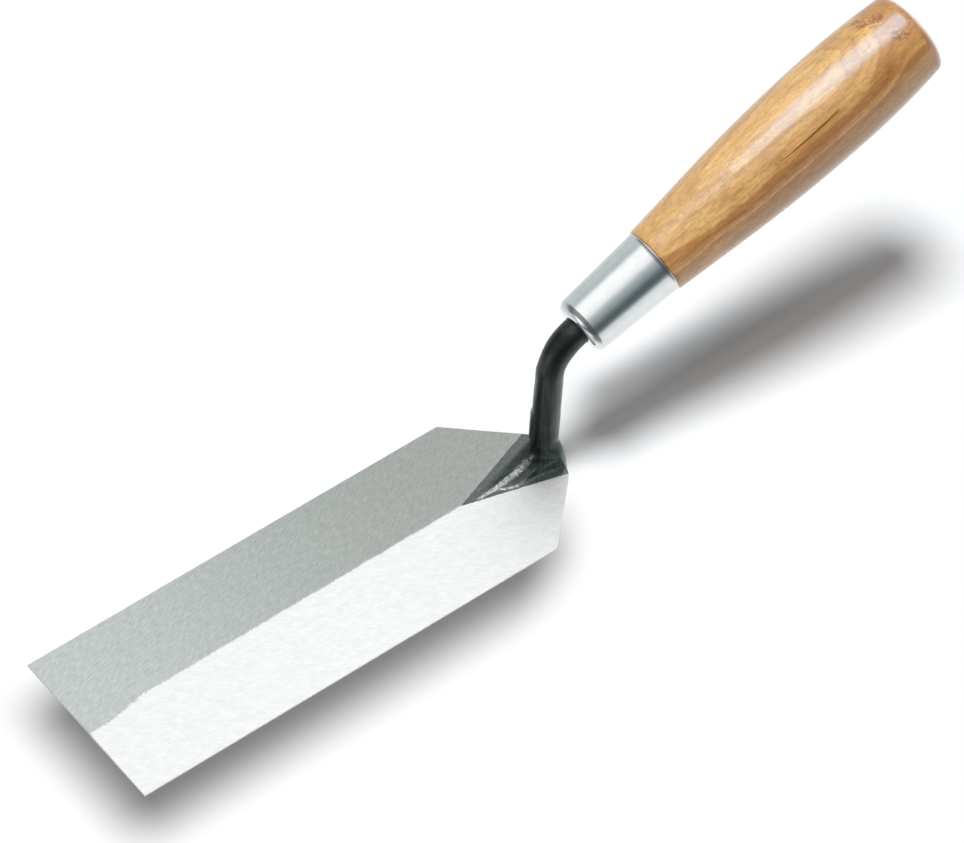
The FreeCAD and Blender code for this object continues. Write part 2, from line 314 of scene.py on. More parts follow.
# the heel's level slices, the last at its top: height, nose x, nose radius, left shoulder x and y,
# half widths to the right and to the left, corner radius
HEEL_SLICES = [
    (0.45, -56.8, 0.4, -68.0, 3.8, 7.7, 5.5, 0.9),
    (1.15, -57.6, 0.4, -68.5, 3.7, 7.5, 5.4, 0.9),
    (1.35, -62.0, 0.5, -69.8, 3.5, 7.1, 5.35, 1.0),
    (1.75, -67.3, 0.8, -71.9, 3.4, 6.6, 5.3, 1.0),
    (2.4, -70.4, 1.1, -73.9, 3.4, 6.1, 5.35, 1.1),
    (2.9, -71.9, 1.3, -75.3, 3.6, 5.8, 5.4, 1.2),
    (4.1, -74.3, 1.9, -77.5, 3.8, 5.3, 5.5, 1.5),
    (5.4, -75.3, 2.5, -79.0, 3.7, 4.9, 5.4, 1.8),
    (6.4, -75.6, 2.9, -79.5, 3.5, 4.6, 5.0, 2.3),
    (7.4, -75.7, 3.3, -79.5, 3.3, 4.1, 4.3, 2.9),
    (8.4, -75.8, 3.7, -79.5, 3.2, 3.7, 3.7, 3.7),
]


def ridge_line(x):
    """How far left of centre the facets meet: hand ground, so it wavers and swings out at the front."""
    swing = RIDGE_SWING * smooth_step(RIDGE_SWING_FROM, RIDGE_SWING_TO, x)
    waver = noise.noise(Vector((x * 0.09, 3.7, 0))) * 0.3 + noise.noise(Vector((x * 0.3, 8.1, 0))) * 0.2
    return swing + waver + RIDGE_OFFSET


def triangle_border(x, y):
    """How far from the centre line the black stock reaches at this x, on the point's own side."""
    slope = LEFT_BORDER_SLOPE if y > 0 else RIGHT_BORDER_SLOPE
    return slope * max(0.0, TRIANGLE_TIP_X - x)


def blade_top(x, y):
    """Height of the top face: the flat stock, cut down by a facet on either side of the ridge."""
    crest = blend(STOCK_THICKNESS, FRONT_RIDGE, smooth_step(TRIANGLE_TIP_X, WORKING_EDGE / MM, x))
    crest_y = ridge_line(x) * smooth_step(-60, -50, x)
    side = HALF_WIDTH / MM
    reach = side - crest_y if y > crest_y else side + crest_y
    distance = math.hypot(y - crest_y, RIDGE_SOFTNESS) - RIDGE_SOFTNESS - triangle_border(x, y)
    share = distance / (reach - RIDGE_SOFTNESS - triangle_border(x, y))
    height = blend(crest, EDGE_THICKNESS, min(1.0, max(0.0, share)))
    ripple = noise.noise(Vector((x * 0.07, y * 0.12, 1.3))) * 0.02
    return height + ripple


def blade_half_width(x):
    """Half the blade's width at this x: full, then bevelled at 45 degrees towards the tail."""
    return HALF_WIDTH / MM - max(0.0, REAR_SHOULDER_X - x)


def make_blade_mesh():
    """The blade plate as a closed grid: ground top, flat underside."""
    across, tail_rows, body_rows = 120, 40, 240
    lengthwise = [blend(TAIL_CORNER_X, REAR_SHOULDER_X, i / tail_rows) for i in range(tail_rows)]
    lengthwise += [blend(REAR_SHOULDER_X, WORKING_EDGE / MM, i / body_rows) for i in range(body_rows + 1)]
    bm = bmesh.new()
    top, bottom = [], []
    for x0 in lengthwise:
        half = blade_half_width(x0)
        bow = TAIL_BOW * (1 - smooth_step(TAIL_CORNER_X, TAIL_CORNER_X + TAIL_BOW_LENGTH, x0))
        upper, lower = [], []
        for j in range(across + 1):
            share = 2 * j / across - 1
            x = x0 - bow * (1 - share * share)
            y = share * half
            upper.append(bm.verts.new(Vector((x, y, blade_top(x, y))) * MM))
            lower.append(bm.verts.new(Vector((x, y, 0)) * MM))
        top.append(upper)
        bottom.append(lower)
    last_row = len(lengthwise) - 1
    for i in range(last_row):
        for j in range(across):
            for grid in (top, bottom):
                bm.faces.new((grid[i][j], grid[i + 1][j], grid[i + 1][j + 1], grid[i][j + 1]))
        for j in (0, across):
            bm.faces.new((top[i][j], top[i + 1][j], bottom[i + 1][j], bottom[i][j]))
    for i in (0, last_row):
        for j in range(across):
            bm.faces.new((top[i][j], top[i][j + 1], bottom[i][j + 1], bottom[i][j]))
    return finish_mesh(bm, "blade_plate")


def heel_slice(height):
    """The heel's sizes at this height, in the order of the slices above."""
    for low, high in zip(HEEL_SLICES, HEEL_SLICES[1:]):
        if height <= high[0]:
            share = (height - low[0]) / (high[0] - low[0])
            return [blend(a, b, share) for a, b in zip(low[1:], high[1:])]
    return list(HEEL_SLICES[-1][1:])


def slice_radius(angle, circles):
    """Distance from the heel's centre to its outline in this direction: a cord tight around circles."""
    direction = Vector((math.cos(angle), math.sin(angle)))
    best = 0.0
    for centre, radius in circles:
        off = direction.x * centre.y - direction.y * centre.x
        if abs(off) < radius:
            best = max(best, centre.dot(direction) + math.sqrt(radius * radius - off * off))
    for first, second in permutations(circles, 2):
        best = max(best, cord_reach(direction, first, second))
    return best


def cord_reach(direction, first, second):
    """Distance to the straight cord from one circle to another, or 0 where this direction misses it."""
    (centre, radius), (other, other_radius) = first, second
    run = (other - centre).length
    if run <= abs(radius - other_radius):
        return 0.0
    heading = math.atan2(other.y - centre.y, other.x - centre.x)
    facing = heading - math.pi / 2 + math.asin((radius - other_radius) / run)
    normal = Vector((math.cos(facing), math.sin(facing)))
    if normal.dot(direction) <= 0:
        return 0.0
    reach = (normal.dot(centre) + radius) / normal.dot(direction)
    start = centre + normal * radius
    chord = other + normal * other_radius - start
    share = (direction * reach - start).dot(chord) / chord.length_squared
    return reach if 0 <= share <= 1 else 0.0


def heel_ring(height, angles):
    """The heel's outline at this height, as points at these angles around its centre."""
    nose, nose_radius, shoulder_x, shoulder_y, right, left, corner = heel_slice(height)
    back = HEEL_BACK_X + corner - HEEL_CENTRE_X
    circles = [
        (Vector((nose - nose_radius - HEEL_CENTRE_X, 0)), nose_radius),
        (Vector((shoulder_x - HEEL_CENTRE_X, shoulder_y - SHOULDER_ROUND)), SHOULDER_ROUND),
        (Vector((back, left - corner)), corner),
        (Vector((back, corner - right)), corner),
    ]
    reaches = [slice_radius(angle, circles) for angle in angles]
    return [Vector((HEEL_CENTRE_X + math.cos(angle) * reach, math.sin(angle) * reach, height))
            for angle, reach in zip(angles, reaches)]


def shank_path(steps):
    """Centre and forward direction along the shank: up from the heel, round the bend, to the ferrule."""
    up = Vector((-math.sin(SHANK_LEAN), 0, math.cos(SHANK_LEAN)))
    heel_top = HEEL_SLICES[-1][0]
    foot = Vector((SHANK_FOOT_X, 0, 0)) + up * (heel_top / up.z)
    crossing = Vector((SHANK_FOOT_X, 0, 0)) + up * (BEND_HEIGHT / up.z)
    turn = up.angle(AXIS)
    tangent = BEND_RADIUS * math.tan(turn / 2)
    start = crossing - up * tangent
    pivot = start + (AXIS - up * up.dot(AXIS)).normalized() * BEND_RADIUS
    places = []
    straight = (start - foot).length
    for i in range(1, steps + 1):
        places.append((foot + up * straight * i / steps, up))
    for i in range(1, steps + 1):
        rotation = Matrix.Rotation(-turn * i / steps, 3, LEFT)
        places.append((pivot + rotation @ (start - pivot), rotation @ up))
    return places


def roughen(point, outward):
    """Push a forged point in or out by a little: hammered and scaled steel is never true."""
    coarse = noise.noise(point * 0.22)
    fine = noise.noise(point * 0.9 + Vector((9, 4, 2)))
    return point + outward * (coarse * 0.12 + fine * 0.035)


def heel_rings(angles):
    """The heel's skin, from inside the blade up to the shank."""
    heights = [0.45, 0.8, 1.05, 1.15, 1.25, 1.35, 1.45, 1.6, 1.75, 1.9, 2.1, 2.4, 2.65, 2.9,
               3.3, 3.7, 4.1, 4.6, 5.0, 5.4, 5.9, 6.4, 6.9, 7.4, 7.9, 8.4]
    rings = []
    for height in heights:
        centre = Vector((HEEL_CENTRE_X, 0, height))
        rings.append([roughen(point, (point - centre).normalized()) for point in heel_ring(height, angles)])
    return rings


def shank_radius(height, outward):
    """The shank's radius at this height, on the side facing outward."""
    below = 1 - smooth_step(STEP_HEIGHT - STEP_SOFTNESS, STEP_HEIGHT + STEP_SOFTNESS, height)
    on_right = smooth_step(0.1, 0.8, -outward.y)
    swell = below * (STEP_SWELL + STEP_SWELL_RIGHT * on_right)
    return SHANK_RADIUS + swell + BEND_SWELL * smooth_step(BEND_SWELL_FROM, BEND_SWELL_TO, height)


def shank_rings(angles):
    """The shank's skin, from the heel round the bend."""
    rings = []
    for centre, forward in shank_path(26):
        front = LEFT.cross(forward)
        ring = []
        for angle in angles:
            outward = front * math.cos(angle) + LEFT * math.sin(angle)
            ring.append(roughen(centre + outward * shank_radius(centre.z, outward), outward))
        rings.append(ring)
    return rings


def tang_rings(angles):
    """The shank's end inside the ferrule, and the tang that tapers from round to square."""
    front = LEFT.cross(AXIS)
    shank_end = FRONT_FACE / MM + SHANK_IN_FERRULE
    tang_end = TANG_END / MM
    # station, radius, and how square the section is
    sections = [
        (shank_end, SHANK_RADIUS + BEND_SWELL, 0.0),
        (shank_end + 0.1, 3.4, 0.0),
        (blend(shank_end, tang_end, 0.5), 2.7, 0.5),
        (tang_end, 1.8, 1.0),
    ]
    rings = []
    for station, radius, squareness in sections:
        centre = on_axis(station * MM) / MM
        ring = []
        for angle in angles:
            square = radius / max(abs(math.cos(angle)), abs(math.sin(angle)))
            reach = blend(radius, square, squareness)
            ring.append(centre + (front * math.cos(angle) + LEFT * math.sin(angle)) * reach)
        rings.append(ring)
    return rings


def make_shank_mesh():
    """Heel, shank and tang as one closed skin of rings, with the rings' points crowded at the nose."""
    count, crowding = 144, 0.82
    turns = [2 * math.pi * i / count for i in range(count)]
    angles = [turn - crowding * math.sin(turn) for turn in turns]
    rings = heel_rings(angles) + shank_rings(angles) + tang_rings(angles)
    bm = bmesh.new()
    skin(bm, [[bm.verts.new(point * MM) for point in ring] for ring in rings])
    return finish_mesh(bm, "heel_and_shank")


def unite(base_mesh, other_mesh, name):
    """One closed skin around two overlapping meshes."""
    base = new_object(name, base_mesh)
    other = new_object(name + "_tool", other_mesh)
    modifier = base.modifiers.new("union", "BOOLEAN")
    modifier.operation = "UNION"
    modifier.solver = "EXACT"
    modifier.object = other
    depsgraph = bpy.context.evaluated_depsgraph_get()
    united = bpy.data.meshes.new_from_object(base.evaluated_get(depsgraph))
    united.name = name
    for item in (base, other):
        bpy.data.objects.remove(item)
    return united


# painted reflection: both ground facets are the same steel; the near-white one is painted as the bright light
# it mirrors, the grey one as dimmer light that darkens towards the rear
DIM_FACET_REFLECTION_REAR = (0.418, 0.430, 0.405)
DIM_FACET_REFLECTION_FRONT = (0.605, 0.626, 0.603)
BRIGHT_FACET_REFLECTION = (0.99, 0.985, 0.975)
SCALE_ROUGHNESS = 0.29


def ground_facets(s, x, y):
    """Grey right of the ridge and near white left of it, painted as the light each facet mirrors: the colour,
    roughness and herringbone strokes.
    """
    wander = s.minus(s.drawn_noise((x, 0.0, 4.0), (0.16, 1, 1), 1.0, 0.5), 0.5)
    ridge = s.linear(wander, 0.7, s.step(x, 45.0, 60.0, RIDGE_OFFSET, RIDGE_SWING))
    from_ridge = s.minus(y, ridge)

    # the strokes run back and outwards from the ridge
    sideways = s.absolute(y)
    along = s.linear(x, 0.93, s.times(sideways, -0.37))
    across = s.linear(x, 0.37, s.times(sideways, 0.93))
    strokes = s.drawn_noise((along, across, 0.0), (0.45, 2.6, 1), 3.0, 0.6)
    mottled = s.drawn_noise((along, across, 5.0), (0.22, 0.5, 1), 4.0, 0.6)

    feather = s.times(s.minus(strokes, 0.5), s.step(x, 30.0, 60.0, 0.6, 2.6))
    left = s.step(s.maths("ADD", from_ridge, feather), -0.4, 0.4)
    # painted reflection: grey on the right, darker towards the rear, and near white on the left
    grey = s.mix(s.step(x, -60.0, 75.0), DIM_FACET_REFLECTION_REAR, DIM_FACET_REFLECTION_FRONT)
    colour = s.mix(left, grey, BRIGHT_FACET_REFLECTION)
    depth = s.linear(left, -0.09, 0.16)
    colour = s.mix(s.times(depth, s.step(strokes, 0.40, 0.62, 1.0, 0.0)), colour, (0.0, 0.0, 0.0))
    colour = s.tint(0.18, colour, s.ramp(mottled, (0.3, (0.7, 0.7, 0.7)), (0.65, (1.0, 1.0, 1.0))))
    return colour, s.step(left, 0.0, 1.0, 0.34, 0.55), strokes


def scale_cover(s, x, y, z, point):
    """Where the black scale was left on: the triangle around the heel, and everything above the blade."""
    back = s.minus(TRIANGLE_TIP_X, x)
    ragged = s.times(s.minus(s.noise(point, 1.1, 5.0, 0.6), 0.5), 0.7)
    right_gap = s.linear(back, RIGHT_BORDER_SLOPE, y)
    left_gap = s.minus(s.times(back, LEFT_BORDER_SLOPE), y)
    inside = s.maths("ADD", s.maths("MINIMUM", left_gap, right_gap), ragged)
    triangle = s.times(s.step(inside, -0.1, 0.12), s.step(z, 0.25, 0.35))
    return s.maths("MAXIMUM", triangle, s.step(z, 1.3, 1.45))


def forge_scale(s, x, y, z, point):
    """Near black scale, drawn out in streaks along the shank, greyer where the stock is flat, and with a
    painted sheen on the shank's left.
    """
    patch = s.noise(point, 0.5, 6.0, 0.65)
    around = s.maths("ARCTAN2", y, s.minus(x, HEEL_CENTRE_X))
    streaks = s.drawn_noise((around, z, 2.0), (4.5, 0.06, 1), 5.0, 0.6)
    hairlines = s.drawn_noise((y, z, x), (3.0, 0.25, 0.1), 3.0, 0.7)
    colour = s.ramp(patch, (0.3, (0.039, 0.048, 0.043)), (0.7, (0.070, 0.083, 0.075)))

    # painted sheen: the shank's left is painted a lighter grey where it mirrors light; below the bend it is
    # streaked, and there are hairlines on it
    painted_sheen_on_left = s.times(s.step(y, -0.4, 2.2), s.step(z, 12.0, 17.0), s.step(z, 31.0, 40.0, 1.0, 0.25))
    colour = s.mix(s.times(painted_sheen_on_left, 0.6), colour, (0.085, 0.097, 0.093))
    streak_tones = s.ramp(streaks, (0.35, (0.55, 0.55, 0.55)), (0.65, (1.4, 1.4, 1.4)))
    colour = s.tint(s.step(z, 28.0, 35.0, 0.8, 0.0), colour, streak_tones)
    hairlines = s.times(s.step(hairlines, 0.55, 0.68), s.step(z, 34.0, 42.0, 0.0, 0.5))
    colour = s.mix(hairlines, colour, (0.11, 0.12, 0.11))

    # the flat triangle, gritty
    grit = s.noise(point, 3.2, 4.0, 0.7)
    flat = s.ramp(grit, (0.35, (0.060, 0.065, 0.062)), (0.65, (0.165, 0.17, 0.165)))
    flat = s.tint(s.step(y, 0.0, 2.5), flat, (0.85, 0.88, 0.85))
    colour = s.mix(s.step(z, 1.2, 1.5, 1.0, 0.0), colour, flat)

    # the heel is paler, most of all at the back of its left side
    left_back = s.times(s.step(z, 9.0, 5.0), s.step(y, 1.5, 4.0), s.step(x, -71.0, -78.0, 0.25, 1.0))
    colour = s.tint(left_back, colour, (2.2, 2.2, 2.2))
    return s.tint(s.step(z, 12.0, 4.0), colour, (1.2, 1.2, 1.2))


def heel_wear_and_highlight(s, colour, x, y, z, point):
    """The heel's crest and the foot of its left side, worn bright through the scale in specks: partly wear,
    partly painted highlight, with a painted sheen on the scale along the crest.
    """
    crest_width = s.step(x, -60.0, -72.0, 0.8, 1.6)
    from_crest = s.absolute(s.minus(y, s.step(x, -74.0, -60.0, 0.2, 0.9)))
    crest = s.times(s.step(from_crest, 0.1, crest_width, 1.0, 0.0), s.step(x, -76.5, -73.0),
                    s.step(x, -56.0, -59.0))
    foot_line = s.maths("ADD", s.step(x, -61.3, -68.3, 0.9, 3.5), s.step(x, -68.3, -82.6, 0.0, 1.8))
    from_foot = s.absolute(s.minus(y, foot_line))
    foot = s.times(s.step(from_foot, 0.1, 0.6, 1.0, 0.0), s.step(x, -69.5, -67.5, 0.35, 1.0),
                   s.step(x, -60.5, -62.5), s.step(z, 3.0, 2.4))
    # painted sheen: the scale along the crest is lightened where its highlight lies
    colour = s.mix(s.times(crest, 0.6), colour, (0.13, 0.14, 0.135))

    # the bare specks are worn steel, laid along the highlights of the crest and the foot: partly wear, partly
    # painted highlight
    rubbed_and_highlit = s.maths("MAXIMUM", crest, foot)
    flecks = s.drawn_noise((x, y, z), (1.05, 3.9, 1.5), 4.0, 0.75)
    speckle = s.step(s.noise(point, 3.0, 3.0, 0.7), 0.42, 0.58, -0.26, 0.10)
    bare = s.maths("ADD", s.linear(rubbed_and_highlit, 0.24, flecks), speckle)
    bare = s.times(s.step(bare, 0.54, 0.78), s.step(rubbed_and_highlit, 0.0, 0.5))
    return s.mix(bare, colour, (0.60, 0.63, 0.62))


def forged_steel():
    """Ground steel on the blade's faces, black forge scale on the heel and shank."""
    s = Shader("ground_steel_and_forge_scale")
    x, y, z = s.place()
    point = s.vector(x, y, z)
    ground, roughness, strokes = ground_facets(s, x, y)
    cover = scale_cover(s, x, y, z, point)
    scale = heel_wear_and_highlight(s, forge_scale(s, x, y, z, point), x, y, z, point)
    roughness = s.linear(cover, s.minus(SCALE_ROUGHNESS, roughness), roughness)
    pits = s.noise(point, 1.7, 4.0, 0.6)
    s.surface(
        Base_Color=s.mix(cover, ground, scale),
        Metallic=1.0,
        Roughness=s.linear(strokes, 0.1, roughness),
        Coat_Weight=s.times(cover, s.step(z, 1.5, 3.0), 0.18),
        Coat_Roughness=0.3,
        Normal=s.bump(pits, s.times(cover, 0.35), 0.2, s.bump(strokes, 0.10, 0.03)),
    )
    return s.material


# ---- ferrule

FERRULE_FRONT_RADIUS = 7.95
FERRULE_RIM_RADIUS = 9.25
FERRULE_SHOULDER = 2.7
FERRULE_HOLE = 4.1
FERRULE_WALL = 0.9
# the rolled rim: its round, and how far it flares
FERRULE_LIP = 0.35
FERRULE_FLARE = 0.1


def ferrule_outline():
    """The drawn cup's closed outline, with a rolled rim."""
    front, rim = FRONT_FACE / MM, RIM / MM
    length = rim - front
    points = [(front + 0.15, FERRULE_HOLE), (front + 0.03, FERRULE_HOLE + 0.15), (front, FERRULE_HOLE + 0.4)]
    shoulder_radius = FERRULE_FRONT_RADIUS + 0.1 - FERRULE_SHOULDER
    points += quarter_round(front + FERRULE_SHOULDER, shoulder_radius, FERRULE_SHOULDER, -90, 0, 14)
    steps = 24
    for i in range(1, steps + 1):
        station = blend(front + FERRULE_SHOULDER, rim - FERRULE_LIP, i / steps)
        flare = FERRULE_FLARE * smooth_step(rim - 1.5, rim - 0.5, station)
        taper = blend(FERRULE_FRONT_RADIUS, FERRULE_RIM_RADIUS - FERRULE_FLARE, (station - front) / length)
        points.append((station, taper + flare))
    points += quarter_round(rim - FERRULE_LIP, FERRULE_RIM_RADIUS - FERRULE_LIP, FERRULE_LIP, 8, 90, 6)
    points.append((rim, FERRULE_RIM_RADIUS - FERRULE_WALL))
    points.append((front + FERRULE_SHOULDER + FERRULE_WALL, FERRULE_FRONT_RADIUS - FERRULE_WALL))
    points.append((front + FERRULE_WALL, FERRULE_HOLE + FERRULE_WALL))
    points.append((front + FERRULE_WALL, FERRULE_HOLE))
    return [(station * MM, radius * MM) for station, radius in points]


def plated_steel():
    """Bright zinc plate, drawn lengthwise, with fine scratches and a faint cloudiness."""
    s = Shader("bright_zinc_plate")
    x, y, z = s.place()
    along = s.along(x, y, z, AXIS, FERRULE_CENTRE)
    up = s.along(x, y, z, UPPER, FERRULE_CENTRE)
    turn = s.maths("ARCTAN2", y, up)
    point = s.vector(along, y, z)
    drawn = s.drawn_noise((along, turn, 0.0), (0.25, 14.0, 1), 6.0, 0.7)
    cloud = s.noise(point, 0.35, 4.0, 0.6)
    scratch = s.step(s.drawn_noise((along, turn, 7.0), (1.4, 30.0, 1), 3.0, 0.8), 0.66, 0.72)
    colour = s.ramp(cloud, (0.3, (0.78, 0.80, 0.795)), (0.7, (0.86, 0.87, 0.865)))
    colour = s.mix(s.times(scratch, 0.35), colour, (0.35, 0.38, 0.4))
    dimples = s.noise(point, 1.8, 4.0, 0.7)
    s.surface(
        Base_Color=colour,
        Metallic=1.0,
        Roughness=s.linear(drawn, 0.06, s.linear(scratch, 0.15, 0.07)),
        Normal=s.bump(dimples, 0.14, 0.06, s.bump(drawn, 0.12, 0.05)),
    )
    return s.material


# ---- handle

GRIP_FRONT_RADIUS = 9.5
TAPER_LENGTH = 24.0
TAPER_RADIUS = 11.7
BELLY_POSITION = 62.0
BELLY_RADIUS = 13.3
# where the grip and the butt's crown would meet, but for a round between them that reaches this far
BUTT_CORNER = (88.2, 11.8)
BUTT_ROUND_ALONG = 1.7
BUTT_ROUND_IN = 1.9
BORE_RADIUS = 4.4
BORE_LENGTH = 78.0


def grip_radius(distance):
    """The turned grip's radius, this far behind the rim."""
    if distance < TAPER_LENGTH:
        return blend(GRIP_FRONT_RADIUS, TAPER_RADIUS, distance / TAPER_LENGTH)
    if distance < BELLY_POSITION:
        share = (BELLY_POSITION - distance) / (BELLY_POSITION - TAPER_LENGTH)
        return BELLY_RADIUS - (BELLY_RADIUS - TAPER_RADIUS) * share ** 2
    share = (distance - BELLY_POSITION) / (BUTT_CORNER[0] - BELLY_POSITION)
    return BELLY_RADIUS - (BELLY_RADIUS - BUTT_CORNER[1]) * share ** 2


def crown_point(radius):
    """The butt's crown, a shallow dome, at this distance from the axis."""
    grip_end = (BUTT - RIM) / MM
    rise = grip_end - BUTT_CORNER[0]
    return grip_end - rise * (radius / BUTT_CORNER[1]) ** 2, radius


def grip_outline():
    """The turned outside, from the rim back: grip, rounded butt and crown."""
    points = [(0.0, GRIP_FRONT_RADIUS - 0.35), (0.12, GRIP_FRONT_RADIUS - 0.1), (0.4, grip_radius(0.4))]
    steps = 110
    for i in range(1, steps + 1):
        distance = blend(0.4, BUTT_CORNER[0] - BUTT_ROUND_ALONG, i / steps)
        points.append((distance, grip_radius(distance)))

    start = points[-1]
    end = crown_point(BUTT_CORNER[1] - BUTT_ROUND_IN)
    steps = 12
    for i in range(1, steps + 1):
        t = i / steps
        points.append([(1 - t) ** 2 * a + 2 * t * (1 - t) * b + t * t * c
                       for a, b, c in zip(start, BUTT_CORNER, end)])

    steps = 16
    points += [crown_point(end[1] * (1 - i / steps)) for i in range(1, steps)]
    return [(RIM + distance * MM, radius * MM) for distance, radius in points]


def tenon_outline():
    """The drilled bore and the tenon that fills the ferrule."""
    front, rim = FRONT_FACE / MM, RIM / MM
    inside = [
        (front + BORE_LENGTH, 0.3),
        (front + BORE_LENGTH, BORE_RADIUS),
        (front + FERRULE_WALL, BORE_RADIUS),
        (front + FERRULE_WALL, FERRULE_HOLE + FERRULE_WALL),
        (front + FERRULE_SHOULDER + FERRULE_WALL, FERRULE_FRONT_RADIUS - FERRULE_WALL),
        (rim, FERRULE_RIM_RADIUS - FERRULE_WALL),
    ]
    return [(station * MM, radius * MM) for station, radius in inside]


# one seasoning crack: its ends behind the rim, and its place round the grip from the top towards the left
CRACK_START, CRACK_END = 36.5, 59.0
CRACK_TURN = math.radians(43.3)
CRACK_BOW = math.radians(1.6)
CRACK_HALF_WIDTH = 0.25
CRACK_DEPTH = 0.16
# above 1 the crack gapes most towards the butt
CRACK_SKEW = 1.7
# the grip's radius there, and how far the mesh's comb of extra lines reaches to either side
CRACK_GRIP_RADIUS = 12.9
COMB_HALF = math.radians(3.6)
COMB_STEPS = 22
EVEN_STEPS = 160


def crack_turn(share):
    """The crack's place around the grip, bowed a little along its length."""
    return CRACK_TURN + CRACK_BOW * (4 * share * (1 - share) - 0.5)


def crack_depth(distance, turn, radius):
    """How deep the crack is at this place on the grip."""
    share = (distance - CRACK_START) / (CRACK_END - CRACK_START)
    if not 0 < share < 1:
        return 0.0
    skewed = share ** CRACK_SKEW
    opening = math.sqrt(4 * skewed * (1 - skewed))
    off = abs(turn - crack_turn(share)) * radius
    return CRACK_DEPTH * opening * max(0.0, 1 - off / (CRACK_HALF_WIDTH * opening + 0.02))


def handle_turns():
    """Angles around the handle: even, with a fine comb of extra ones where the crack is."""
    even = [2 * math.pi * i / EVEN_STEPS for i in range(EVEN_STEPS)]
    kept = [turn for turn in even if abs(turn - CRACK_TURN) > COMB_HALF]
    comb = [CRACK_TURN + COMB_HALF * (2 * i / COMB_STEPS - 1) for i in range(COMB_STEPS + 1)]
    return sorted(kept + comb)


def make_handle_mesh():
    """Turn the outline about the axis, sinking the crack into the grip."""
    bm = bmesh.new()
    turns = handle_turns()
    rim = RIM / MM
    rings = []
    for station, radius in tenon_outline() + grip_outline():
        ring = []
        on_grip = radius > FERRULE_RIM_RADIUS * MM
        for turn in turns:
            sink = crack_depth(station / MM - rim, turn, radius / MM) * MM if on_grip else 0.0
            ring.append(bm.verts.new(on_axis(station) + outward_at(turn) * (radius - sink)))
        rings.append(ring)
    skin(bm, rings)
    return finish_mesh(bm, "turned_handle")


# knots near the butt: distance behind the rim, degrees round from the top towards the left, and size
KNOTS = [(77.4, -29, 1.2), (78.6, -17, 1.6), (79.8, -6, 1.4), (82.0, -9, 2.0), (82.0, 20, 1.0),
         (82.8, 24, 1.7), (84.3, 29, 1.3)]
KNOT_SWIRL_CENTRE = (82.5, -2)
KNOT_SWIRL_REACH = 13.0
KNOT_SWIRL_DEPTH = 6.5
KNOT_GRIP_RADIUS = 12.6
# a painted highlight: the wood is lightened between the knots, where the lacquer's highlight lies near the
# butt
PAINTED_HIGHLIGHT_CENTRE = (81.5, 3)
RING_TILT = math.radians(-7)
RING_SWAY = 4.2
# the wood's colour through the growth rings, by height above the axis
RING_COLOURS = [
    (0.0, (0.50, 0.275, 0.105)), (2.6, (0.44, 0.215, 0.075)), (3.4, (0.58, 0.33, 0.125)),
    (4.2, (0.52, 0.275, 0.10)), (4.8, (0.42, 0.195, 0.062)), (6.2, (0.47, 0.23, 0.075)),
    (6.8, (0.62, 0.365, 0.14)), (8.9, (0.65, 0.385, 0.145)), (9.4, (0.52, 0.28, 0.092)),
    (9.9, (0.67, 0.405, 0.16)), (11.0, (0.60, 0.345, 0.13)), (11.5, (0.71, 0.44, 0.178)),
    (14.0, (0.72, 0.45, 0.185)),
]
RING_DEEPEST, RING_HIGHEST = -2.0, 14.0


def far_from(s, point, distance, degrees):
    """How far the point is from a place on the grip near the butt."""
    turn = math.radians(degrees)
    centre = (distance, KNOT_GRIP_RADIUS * math.sin(turn), KNOT_GRIP_RADIUS * math.cos(turn))
    return s.add("ShaderNodeVectorMath", {0: point, 1: centre}, operation="DISTANCE").outputs["Value"]


def growth_rings(s, along, y, up, point):
    """Flat sheets across the grip, swaying, and pulled down around the knots."""
    sway = s.drawn_noise((along, y, up), (0.03, 0.16, 0.16), 4.0, 0.5)
    sheet = s.linear(up, math.cos(RING_TILT), s.times(y, math.sin(RING_TILT)))
    sheet = s.linear(s.minus(sway, 0.5), RING_SWAY, sheet)
    pull = s.maths("DIVIDE", far_from(s, point, *KNOT_SWIRL_CENTRE), KNOT_SWIRL_REACH)
    pull = s.maths("EXPONENT", s.times(pull, pull, -1.0))
    sheet = s.linear(pull, -KNOT_SWIRL_DEPTH, sheet)

    depth = RING_HIGHEST - RING_DEEPEST
    share = s.maths("DIVIDE", s.minus(sheet, RING_DEEPEST), depth)
    colour = s.ramp(share, *(((height - RING_DEEPEST) / depth, tone) for height, tone in RING_COLOURS))
    ring = s.linear(s.maths("SINE", s.times(sheet, 5.2)), 0.5, 0.5)
    late_wood = s.maths("POWER", ring, 3.0)
    return s.tint(s.times(late_wood, 0.45), colour, (0.80, 0.70, 0.58))


def add_grain(s, colour, along, y, up, fibre):
    """Fibres and pores, short and fine, with clouds and longer darker streaks."""
    place = (along, y, up)
    pores = s.drawn_noise(place, (0.7, 2.1, 2.1), 2.0, 0.6)
    streak = s.drawn_noise(place, (0.055, 0.8, 0.8), 5.0, 0.65)
    cloud = s.drawn_noise(place, (0.12, 0.3, 0.3), 3.0, 0.5)
    colour = s.tint(0.6, colour, s.ramp(fibre, (0.3, (0.76, 0.67, 0.55)), (0.7, (1.30, 1.31, 1.28))))
    colour = s.tint(0.5, colour, s.ramp(cloud, (0.3, (0.84, 0.78, 0.70)), (0.7, (1.24, 1.28, 1.30))))
    colour = s.tint(0.5, colour, s.ramp(streak, (0.36, (0.84, 0.74, 0.60)), (0.54, (1.06, 1.08, 1.10))))
    return s.tint(s.step(pores, 0.5, 0.68, 0.0, 0.5), colour, (0.74, 0.60, 0.45))


